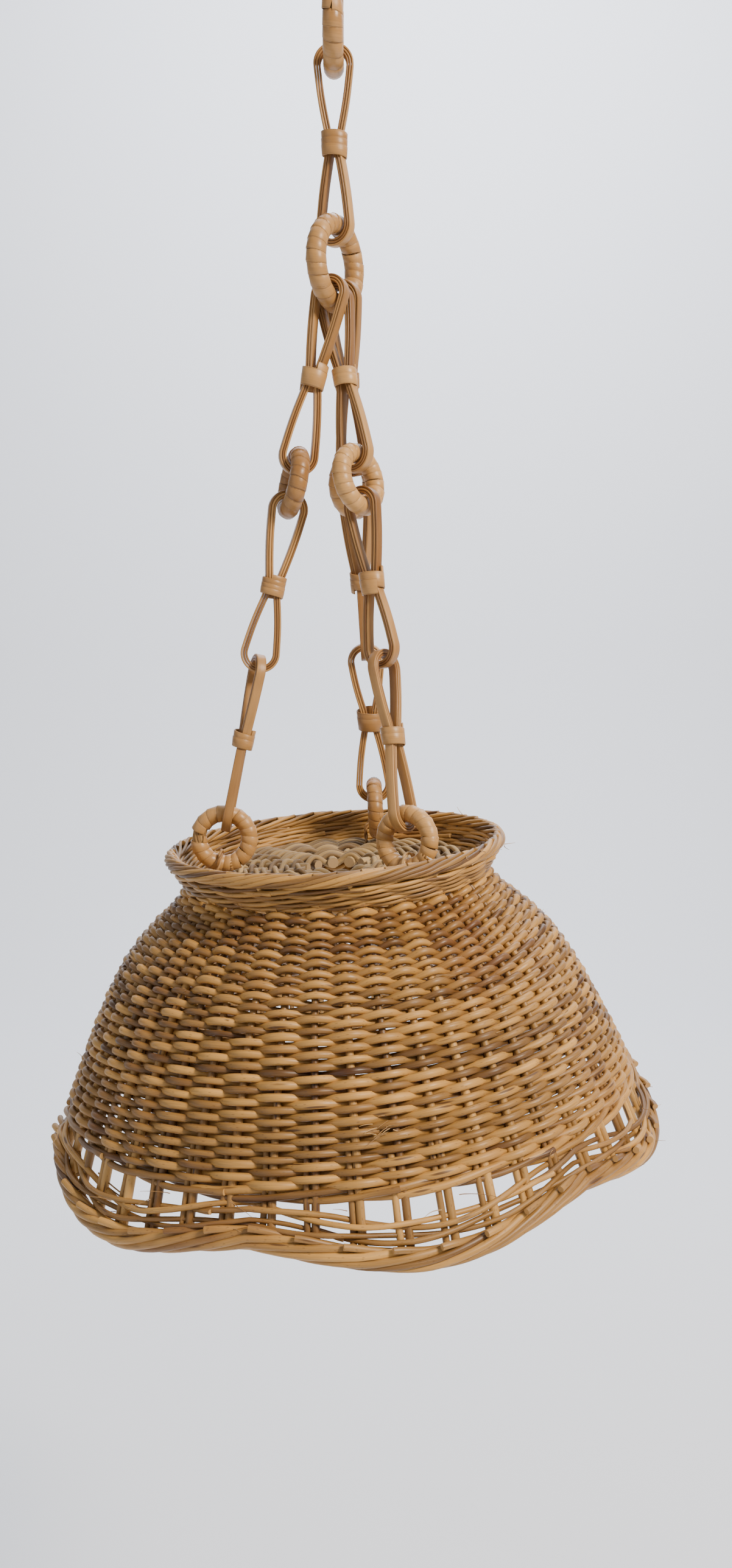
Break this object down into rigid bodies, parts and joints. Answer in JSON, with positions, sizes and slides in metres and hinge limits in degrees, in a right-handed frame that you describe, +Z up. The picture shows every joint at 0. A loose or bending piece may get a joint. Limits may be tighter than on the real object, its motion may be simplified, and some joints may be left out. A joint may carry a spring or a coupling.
{
  "type": "hanging basket",
  "caption": "Woven willow bell basket hung mouth down from three chains of cane links and wrapped rings that meet at one junction ring and a top ring",
  "frame": {"origin": "The hanging point: the inside of the top ring, where a hook carries it", "axes": "+Z is up and runs along the chains; -Y is the front, +X is to its right"},
  "size_m": [0.3566, 0.3568, 0.6595],
  "materials": {
    "straw_core": "dry straw coil, matt",
    "cane_wrap": "split cane skin wound flat, soft sheen",
    "cane_link": "two and three ply cane splits, smooth outside",
    "willow_split": "split willow tie",
    "base_willow": "weathered buff willow",
    "willow_stake": "round buff willow rod",
    "willow_weave": "woven buff willow rods, natural colour changes"
  },
  "bodies": {
    "top_ring": {"top_ring_core": "straw_core", "top_ring_wrap": "cane_wrap"},
    "upper_link": {"upper_link": "cane_link", "upper_link_binding": "cane_wrap"},
    "junction_ring": {"junction_ring_core": "straw_core", "junction_ring_wrap": "cane_wrap"},
    "basket": {"base_weaving": "base_willow", "base_sticks": "base_willow", "side_weaving": "willow_weave", "side_stakes": "willow_stake", "skirt_wale": "willow_weave", "upper_fitch": "willow_weave", "lower_fitch": "willow_weave", "scallop_border": "willow_weave", "skirt_uprights": "willow_stake", "collar_weaving": "willow_weave", "rim_border": "willow_weave", "collar_stakes": "willow_stake", "left_link_1": "cane_link", "left_link_1_binding": "cane_wrap", "left_tie": "willow_split", "right_link_1": "cane_link", "right_link_1_binding": "cane_wrap", "right_tie": "willow_split", "back_link_1": "cane_link", "back_link_1_binding": "cane_wrap", "back_tie": "willow_split"},
    "left_ring": {"left_ring_core": "straw_core", "left_ring_wrap": "cane_wrap"},
    "left_link_2": {"left_link_2": "cane_link", "left_link_2_binding": "cane_wrap"},
    "left_link_3": {"left_link_3": "cane_link", "left_link_3_binding": "cane_wrap"},
    "left_base_ring": {"left_base_ring_core": "straw_core", "left_base_ring_wrap": "cane_wrap"},
    "right_ring": {"right_ring_core": "straw_core", "right_ring_wrap": "cane_wrap"},
    "right_link_2": {"right_link_2": "cane_link", "right_link_2_binding": "cane_wrap"},
    "right_link_3": {"right_link_3": "cane_link", "right_link_3_binding": "cane_wrap"},
    "right_base_ring": {"right_base_ring_core": "straw_core", "right_base_ring_wrap": "cane_wrap"},
    "back_ring": {"back_ring_core": "straw_core", "back_ring_wrap": "cane_wrap"},
    "back_link_2": {"back_link_2": "cane_link", "back_link_2_binding": "cane_wrap"},
    "back_link_3": {"back_link_3": "cane_link", "back_link_3_binding": "cane_wrap"},
    "back_base_ring": {"back_base_ring_core": "straw_core", "back_base_ring_wrap": "cane_wrap"}
  },
  "joints": [
    {"name": "upper_link_swing", "type": "hinge", "parent": "top_ring", "child": "upper_link", "pos_m": [0, 0, -0.036], "axis": [0, 1, 0], "range_deg": [-20, 20]},
    {"name": "junction_ring_swing", "type": "hinge", "parent": "upper_link", "child": "junction_ring", "pos_m": [0, 0, -0.12], "axis": [0.8771, -0.4802, 0], "range_deg": [-14, 14]},
    {"name": "basket_swing", "type": "hinge", "parent": "junction_ring", "child": "basket", "pos_m": [0, 0, -0.162], "axis": [0.4802, 0.8771, 0], "range_deg": [-14, 14]},
    {"name": "left_ring_spin", "type": "hinge", "parent": "basket", "child": "left_ring", "pos_m": [-0.0247, -0.00874, -0.26048], "axis": [-0.2061, -0.0203, -0.9783], "range_deg": [-7, 7]},
    {"name": "left_link_2_spin", "type": "hinge", "parent": "basket", "child": "left_link_2", "pos_m": [-0.04575, -0.01081, -0.36038], "axis": [-0.2061, -0.0203, -0.9783], "range_deg": [-7, 7]},
    {"name": "left_link_3_spin", "type": "hinge", "parent": "basket", "child": "left_link_3", "pos_m": [-0.04575, -0.01081, -0.36038], "axis": [-0.2061, -0.0203, -0.9783], "range_deg": [-7, 7]},
    {"name": "left_base_ring_spin", "type": "hinge", "parent": "basket", "child": "left_base_ring", "pos_m": [-0.0667, -0.01287, -0.45979], "axis": [-0.2061, -0.0203, -0.9783], "range_deg": [-5, 5]},
    {"name": "right_ring_spin", "type": "hinge", "parent": "basket", "child": "right_ring", "pos_m": [0.01178, -0.01852, -0.25988], "axis": [0.1233, -0.1743, -0.9769], "range_deg": [-7, 7]},
    {"name": "right_link_2_spin", "type": "hinge", "parent": "basket", "child": "right_link_2", "pos_m": [0.02413, -0.03599, -0.3578], "axis": [0.1233, -0.1743, -0.9769], "range_deg": [-7, 7]},
    {"name": "right_link_3_spin", "type": "hinge", "parent": "basket", "child": "right_link_3", "pos_m": [0.02413, -0.03599, -0.3578], "axis": [0.1233, -0.1743, -0.9769], "range_deg": [-7, 7]},
    {"name": "right_base_ring_spin", "type": "hinge", "parent": "basket", "child": "right_base_ring", "pos_m": [0.03642, -0.05337, -0.45523], "axis": [0.1233, -0.1743, -0.9769], "range_deg": [-5, 5]},
    {"name": "back_ring_spin", "type": "hinge", "parent": "basket", "child": "back_ring", "pos_m": [0.00932, 0.02354, -0.25783], "axis": [0.0553, 0.167, -0.9844], "range_deg": [-7, 7]},
    {"name": "back_link_2_spin", "type": "hinge", "parent": "basket", "child": "back_link_2", "pos_m": [0.0148, 0.04007, -0.35525], "axis": [0.0553, 0.167, -0.9844], "range_deg": [-7, 7]},
    {"name": "back_link_3_spin", "type": "hinge", "parent": "basket", "child": "back_link_3", "pos_m": [0.0148, 0.04007, -0.35525], "axis": [0.0553, 0.167, -0.9844], "range_deg": [-7, 7]},
    {"name": "back_base_ring_spin", "type": "hinge", "parent": "basket", "child": "back_base_ring", "pos_m": [0.02025, 0.05651, -0.45217], "axis": [0.0553, 0.167, -0.9844], "range_deg": [-5, 5]}
  ]
}
